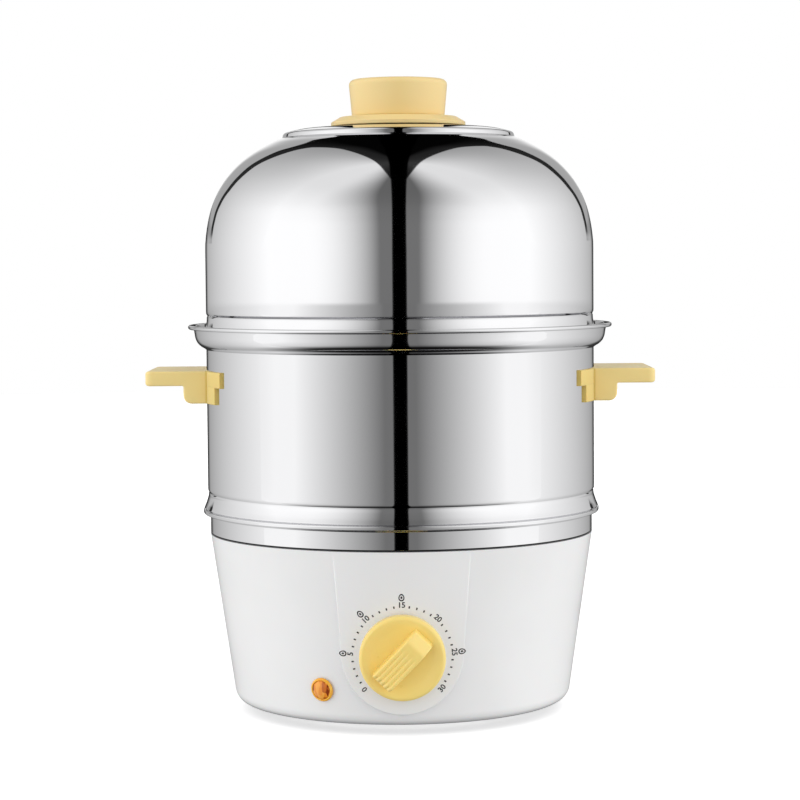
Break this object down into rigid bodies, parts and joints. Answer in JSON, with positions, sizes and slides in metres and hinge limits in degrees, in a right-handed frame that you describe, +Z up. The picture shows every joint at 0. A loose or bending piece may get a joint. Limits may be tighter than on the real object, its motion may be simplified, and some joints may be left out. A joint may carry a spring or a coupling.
{
  "type": "egg cooker",
  "caption": "Two-tier electric egg cooker: plastic base with a timer dial, steel steam pan, steel tier with side handles, egg racks and a domed steel lid with a knob.",
  "frame": {"origin": "on the vertical axis at the level the feet stand on", "axes": "+Z up, dial faces -Y, side handles along +X and -X"},
  "size_m": [0.226, 0.1908, 0.2828],
  "materials": {
    "polished_steel": "mirror polished stainless sheet",
    "zinc_steel": "zinc plated steel",
    "cast_aluminium": "as cast",
    "white_plastic": "moulded, satin gloss",
    "cream_plastic": "moulded, satin gloss",
    "dial_plastic": "moulded, gloss",
    "amber_lens": "clear tinted, gloss",
    "lamp_glass": "clear",
    "silicone": "moulded, matt",
    "dark_plastic": "moulded, matt",
    "wire_sleeve": "silicone glass sleeve"
  },
  "bodies": {
    "base": {"base_housing": "white_plastic", "bottom_cover": "white_plastic", "terminal_block": "white_plastic", "foot_1": "silicone", "foot_2": "silicone", "foot_3": "silicone", "foot_4": "silicone", "pan_gasket": "silicone", "cover_screw_1": "zinc_steel", "cover_screw_2": "zinc_steel", "cover_screw_3": "zinc_steel", "cover_screw_4": "zinc_steel", "thermal_fuse": "zinc_steel", "heat_shield": "zinc_steel", "pan_stud_1": "zinc_steel", "pan_stud_2": "zinc_steel", "pan_stud_3": "zinc_steel", "pan_nut_1": "zinc_steel", "pan_nut_2": "zinc_steel", "pan_nut_3": "zinc_steel", "timer_bell": "zinc_steel", "timer_screw_1": "zinc_steel", "timer_screw_2": "zinc_steel", "heating_pan": "polished_steel", "heater_plate": "cast_aluminium", "heating_element": "cast_aluminium", "thermostat": "cast_aluminium", "timer_case": "dark_plastic", "lamp_clip": "dark_plastic", "cord_gland": "dark_plastic", "lamp_lens": "amber_lens", "lamp_neon": "lamp_glass", "timer_lead": "wire_sleeve", "thermostat_lead": "wire_sleeve", "element_lead": "wire_sleeve", "return_lead": "wire_sleeve", "lamp_lead": "wire_sleeve"},
    "timer_dial": {"timer_knob": "dial_plastic", "timer_shaft": "zinc_steel"},
    "lower_rack": {"lower_egg_rack": "cream_plastic"},
    "tier": {"steel_tier": "polished_steel", "right_handle": "cream_plastic", "left_handle": "cream_plastic", "right_handle_screw_1": "zinc_steel", "right_handle_screw_2": "zinc_steel", "left_handle_screw_1": "zinc_steel", "left_handle_screw_2": "zinc_steel"},
    "tray": {"steam_tray": "polished_steel"},
    "upper_rack": {"upper_egg_rack": "cream_plastic"},
    "lid": {"lid_shell": "polished_steel", "knob_base": "cream_plastic", "lid_knob": "cream_plastic", "knob_washer": "zinc_steel", "knob_screw": "zinc_steel"}
  },
  "joints": [
    {"name": "timer_turn", "type": "hinge", "parent": "base", "child": "timer_dial", "pos_m": [0, -0.0829, 0.035], "axis": [0, 0.9962, 0.0872], "range_deg": [0, 270]},
    {"name": "tier_lift", "type": "slide", "parent": "base", "child": "tier", "axis": [0, 0, 1], "range_m": [0, 0.2]},
    {"name": "lower_rack_lift", "type": "slide", "parent": "base", "child": "lower_rack", "axis": [0, 0, 1], "range_m": [0, 0.08]},
    {"name": "lid_lift", "type": "slide", "parent": "tier", "child": "lid", "axis": [0, 0, 1], "range_m": [0, 0.16]},
    {"name": "upper_rack_lift", "type": "slide", "parent": "tier", "child": "upper_rack", "axis": [0, 0, 1], "range_m": [0, 0.08]},
    {"name": "tray_lift", "type": "slide", "parent": "tier", "child": "tray", "axis": [0, 0, 1], "range_m": [0, 0.04]}
  ],
  "couplings": [
    {"joint": "lower_rack_lift", "follows": "tier_lift", "ratio": 0.4},
    {"joint": "upper_rack_lift", "follows": "lid_lift", "ratio": 0.5},
    {"joint": "tray_lift", "follows": "lid_lift", "ratio": 0.25}
  ]
}
